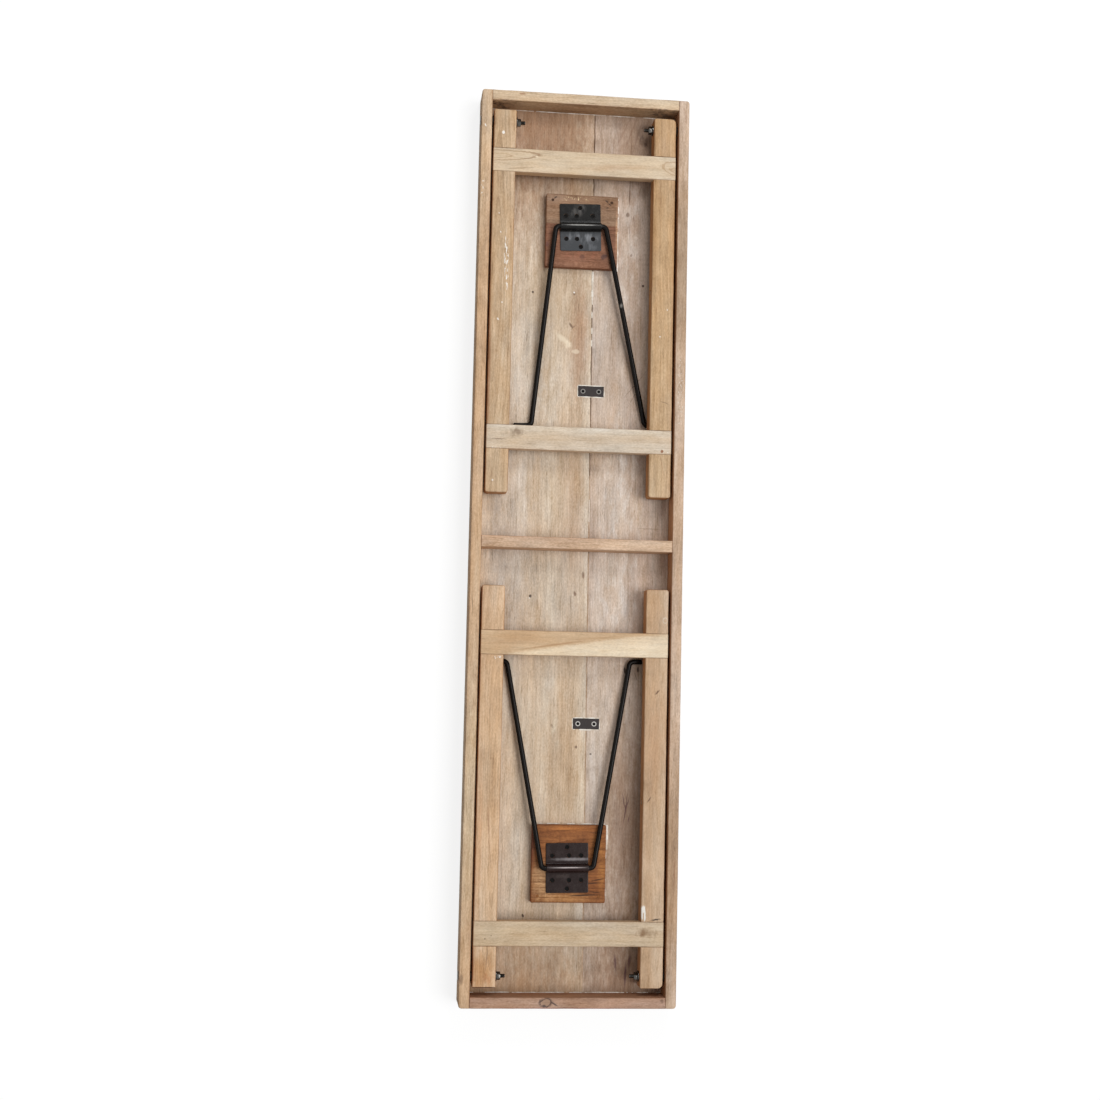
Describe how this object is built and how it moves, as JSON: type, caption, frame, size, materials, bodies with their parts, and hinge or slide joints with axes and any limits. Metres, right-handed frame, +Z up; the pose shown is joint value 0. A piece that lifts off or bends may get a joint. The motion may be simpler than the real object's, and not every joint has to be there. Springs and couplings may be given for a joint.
{
  "type": "folding console table",
  "caption": "Long narrow folding table, lying on its top: leg frames folded into a shallow apron, each held open by a bent rod brace in a saddle bracket.",
  "frame": {"origin": "middle of the table's top face, which the folded table lies on", "axes": "+X along the table's length, +Y across it, +Z up out of the underside"},
  "size_m": [1.8, 0.425, 0.07],
  "materials": {
    "board_wood": "bare aged softwood, grey-beige",
    "apron_wood": "bare softwood, worn edges",
    "leg_wood": "bare softwood with paint flecks",
    "block_wood": "stained brown softwood",
    "bracket_steel": "worn dark steel",
    "rod_black": "satin black, worn",
    "plate_steel": "dull grey steel",
    "pivot_steel": "dull zinc",
    "screw_steel": "darkened steel",
    "nail_iron": "rusted iron"
  },
  "bodies": {
    "top": {"apron_screws": "screw_steel", "block_nails": "nail_iron", "brace_block_left": "block_wood", "brace_block_right": "block_wood", "centre_stretcher": "apron_wood", "end_rail_left": "apron_wood", "end_rail_right": "apron_wood", "mending_plate_left": "plate_steel", "mending_plate_right": "plate_steel", "mending_plate_screws": "screw_steel", "pivot_bolts": "pivot_steel", "pivot_nuts": "pivot_steel", "pivot_spacers": "pivot_steel", "pivot_washers": "pivot_steel", "saddle_bracket_left": "bracket_steel", "saddle_bracket_right": "bracket_steel", "saddle_screws_left": "screw_steel", "saddle_screws_right": "screw_steel", "side_rail_back": "apron_wood", "side_rail_front": "apron_wood", "top_board_narrow": "board_wood", "top_board_wide": "board_wood", "top_nails": "nail_iron"},
    "leg_frame_left": {"leg_left_front": "leg_wood", "leg_left_back": "leg_wood", "upper_cross_rail_left": "leg_wood", "lower_cross_rail_left": "leg_wood"},
    "leg_frame_right": {"leg_right_front": "leg_wood", "leg_right_back": "leg_wood", "upper_cross_rail_right": "leg_wood", "lower_cross_rail_right": "leg_wood"},
    "brace_left": {"brace_rod_left": "rod_black"},
    "brace_right": {"brace_rod_right": "rod_black"}
  },
  "joints": [
    {"name": "leg_fold_left", "type": "hinge", "parent": "top", "child": "leg_frame_left", "pos_m": [-0.842, 0, 0.047], "axis": [0, -1, 0], "range_deg": [0, 92.5]},
    {"name": "leg_fold_right", "type": "hinge", "parent": "top", "child": "leg_frame_right", "pos_m": [0.842, 0, 0.047], "axis": [0, 1, 0], "range_deg": [0, 92.5]},
    {"name": "brace_swing_left", "type": "hinge", "parent": "top", "child": "brace_left", "pos_m": [-0.6375, 0.003, 0.04338], "axis": [0.0175, -0.9998, 0], "range_deg": [0, 122]},
    {"name": "brace_swing_right", "type": "hinge", "parent": "top", "child": "brace_right", "pos_m": [0.6375, 0.003, 0.04338], "axis": [-0.0366, 0.9993, 0], "range_deg": [0, 122]}
  ],
  "couplings": [
    {"joint": "brace_swing_left", "follows": "leg_fold_left", "ratio": 1.308},
    {"joint": "brace_swing_right", "follows": "leg_fold_right", "ratio": 1.308}
  ]
}
